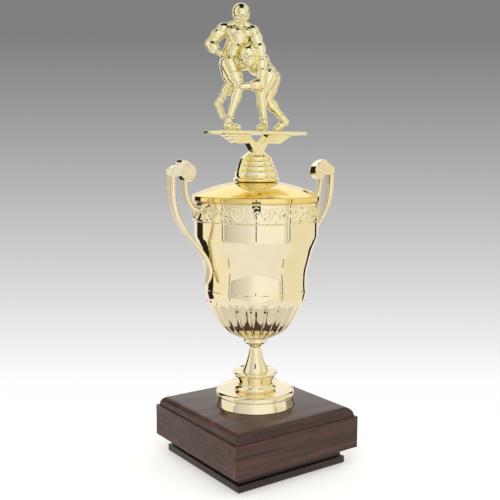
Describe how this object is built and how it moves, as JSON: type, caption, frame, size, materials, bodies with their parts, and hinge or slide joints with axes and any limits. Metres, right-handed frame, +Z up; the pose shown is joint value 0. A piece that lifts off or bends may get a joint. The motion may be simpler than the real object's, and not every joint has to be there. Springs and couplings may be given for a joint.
{
  "type": "cup trophy",
  "caption": "Tall lidded presentation cup with two scroll handles on a turned pedestal and square wooden base, topped by a pair of wrestlers on a winged column.",
  "frame": {"origin": "centre of the base's underside, on the surface that it stands on", "axes": "+Z up along the cup's axis, X through the two handles, -Y towards the front of the base"},
  "size_m": [0.2034, 0.1524, 0.4647],
  "materials": {
    "felt": "green baize",
    "walnut": "dark walnut, satin lacquer",
    "steel_hardware": "zinc plated",
    "cup_gold": "polished pale gold plate",
    "lid_gold": "polished yellow gold plate",
    "topper_gold": "polished yellow gold plate"
  },
  "bodies": {
    "cup": {"felt_pad": "felt", "wood_plinth": "walnut", "wood_block": "walnut", "plinth_screws": "steel_hardware", "tie_rod": "steel_hardware", "tie_rod_lower_washer": "steel_hardware", "tie_rod_lower_nut": "steel_hardware", "tie_rod_upper_washer": "steel_hardware", "tie_rod_upper_nut": "steel_hardware", "pedestal_foot": "cup_gold", "pedestal_collar": "cup_gold", "pedestal_drum": "cup_gold", "stem": "cup_gold", "stem_dish": "cup_gold", "bowl_ring": "cup_gold", "calyx": "cup_gold", "cup_body": "cup_gold", "rim_band": "cup_gold", "handle_left": "cup_gold", "handle_right": "cup_gold", "handle_screws": "steel_hardware"},
    "lid": {"lid": "lid_gold"},
    "topper": {"topper_washer": "steel_hardware", "topper_nut": "steel_hardware", "topper_stud": "steel_hardware", "riser": "topper_gold", "figure_column": "topper_gold", "figure_plate": "topper_gold", "wrestler_standing": "topper_gold", "wrestler_shooting": "topper_gold"}
  },
  "joints": [
    {"name": "lid_lift", "type": "slide", "parent": "cup", "child": "lid", "axis": [0, 0, 1], "range_m": [0, 0.1]},
    {"name": "topper_turn", "type": "hinge", "parent": "lid", "child": "topper", "pos_m": [0, 0, 0.3], "axis": [0, 0, 1], "continuous": true}
  ]
}
